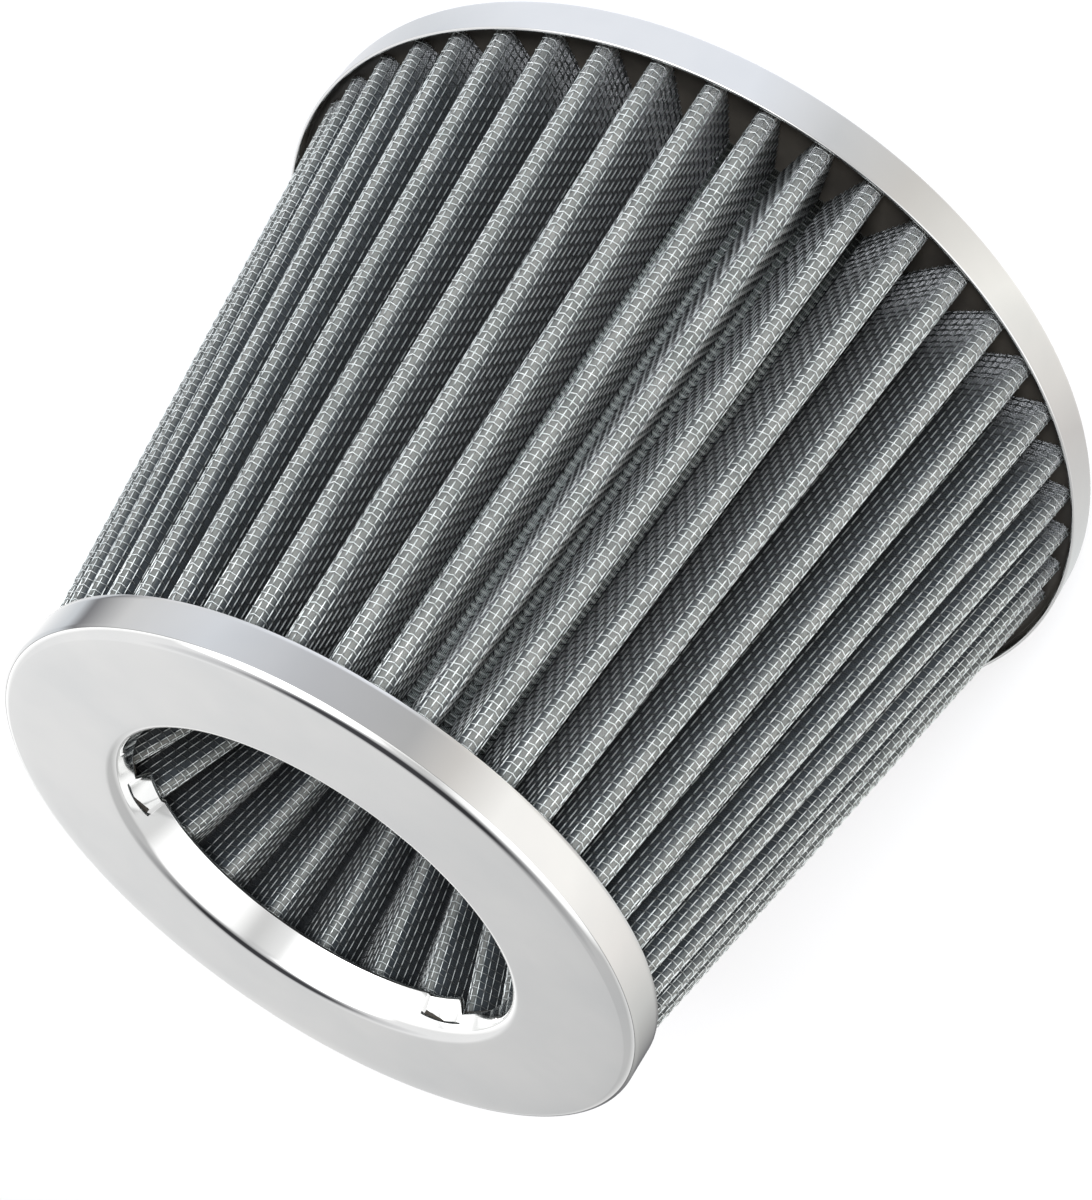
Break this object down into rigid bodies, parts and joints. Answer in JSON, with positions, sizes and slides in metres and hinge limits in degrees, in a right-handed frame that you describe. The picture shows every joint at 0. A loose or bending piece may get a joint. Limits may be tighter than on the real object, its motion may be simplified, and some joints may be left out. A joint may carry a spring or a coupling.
{
  "type": "cone air filter",
  "caption": "Pleated wire mesh cone air filter with two bright steel end caps, a smaller pleated cone sunk into its open end and a rubber pipe collar.",
  "frame": {"origin": "centre of the collar's open end, on the surface that the filter stands on", "axes": "+Z along the filter's axis, from the pipe collar up to the open mouth in the small cap"},
  "size_m": [0.156, 0.156, 0.14],
  "materials": {
    "polished_steel": "polished",
    "wire_mesh": "woven wire",
    "gauze": "woven cotton",
    "sealant": "matte",
    "rubber": "moulded"
  },
  "bodies": {
    "root": {"small_end_cap": "polished_steel", "large_end_cap": "polished_steel", "pipe_collar": "rubber", "small_end_seal": "sealant", "large_end_seal": "sealant", "outer_wire_mesh": "wire_mesh", "filter_medium": "gauze", "inner_wire_mesh": "wire_mesh", "cone_wire_mesh": "wire_mesh", "cone_medium": "gauze", "cone_back_mesh": "wire_mesh", "nose_seal": "sealant", "nose_cap": "polished_steel"}
  },
  "joints": []
}
